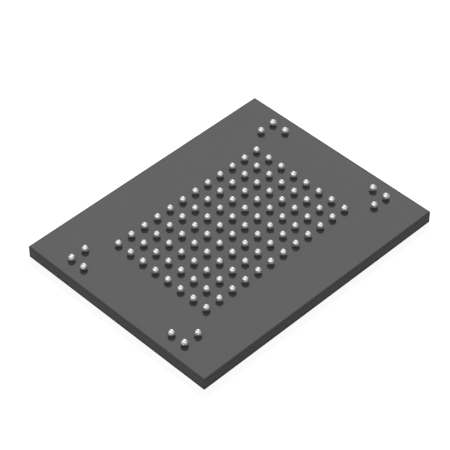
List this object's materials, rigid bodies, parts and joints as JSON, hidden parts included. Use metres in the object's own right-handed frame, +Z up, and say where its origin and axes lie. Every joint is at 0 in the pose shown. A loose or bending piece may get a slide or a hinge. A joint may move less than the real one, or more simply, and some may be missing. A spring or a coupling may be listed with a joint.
{
  "type": "bga chip",
  "caption": "Flat rectangular moulded chip package, lying on its marking face, with a grid of solder balls and an L of balls at each corner of its upper side.",
  "frame": {"origin": "centre of the flat marking face that the chip lies on", "axes": "+X along the body's length, away from the first ball's end; +Y along its width; +Z up, out of the ball side"},
  "size_m": [0.018, 0.014, 0.0012],
  "materials": {
    "mould_compound": "matt epoxy moulding compound, sawn at the sides",
    "solder_mask": "matt grey solder mask on laminate",
    "solder": "satin tin-silver-copper solder",
    "copper": "bare copper",
    "gold": "bright gold",
    "silicon": "polished silicon",
    "adhesive_film": "cured epoxy film"
  },
  "bodies": {
    "root": {"mould_cap": "mould_compound", "substrate": "solder_mask", "ball_pads": "copper", "silicon_die": "silicon", "die_attach_film": "adhesive_film", "bond_wires": "gold", "bond_fingers": "gold", "solder_balls_row_a": "solder", "solder_balls_row_b": "solder", "solder_balls_row_c": "solder", "solder_balls_row_d": "solder", "solder_balls_row_e": "solder", "solder_balls_row_f": "solder", "solder_balls_row_g": "solder", "solder_balls_row_h": "solder", "solder_balls_row_j": "solder", "solder_balls_row_k": "solder", "solder_balls_row_l": "solder", "solder_balls_row_m": "solder", "solder_balls_row_n": "solder", "solder_balls_row_p": "solder", "solder_balls_row_r": "solder", "solder_balls_row_t": "solder"}
  },
  "joints": []
}
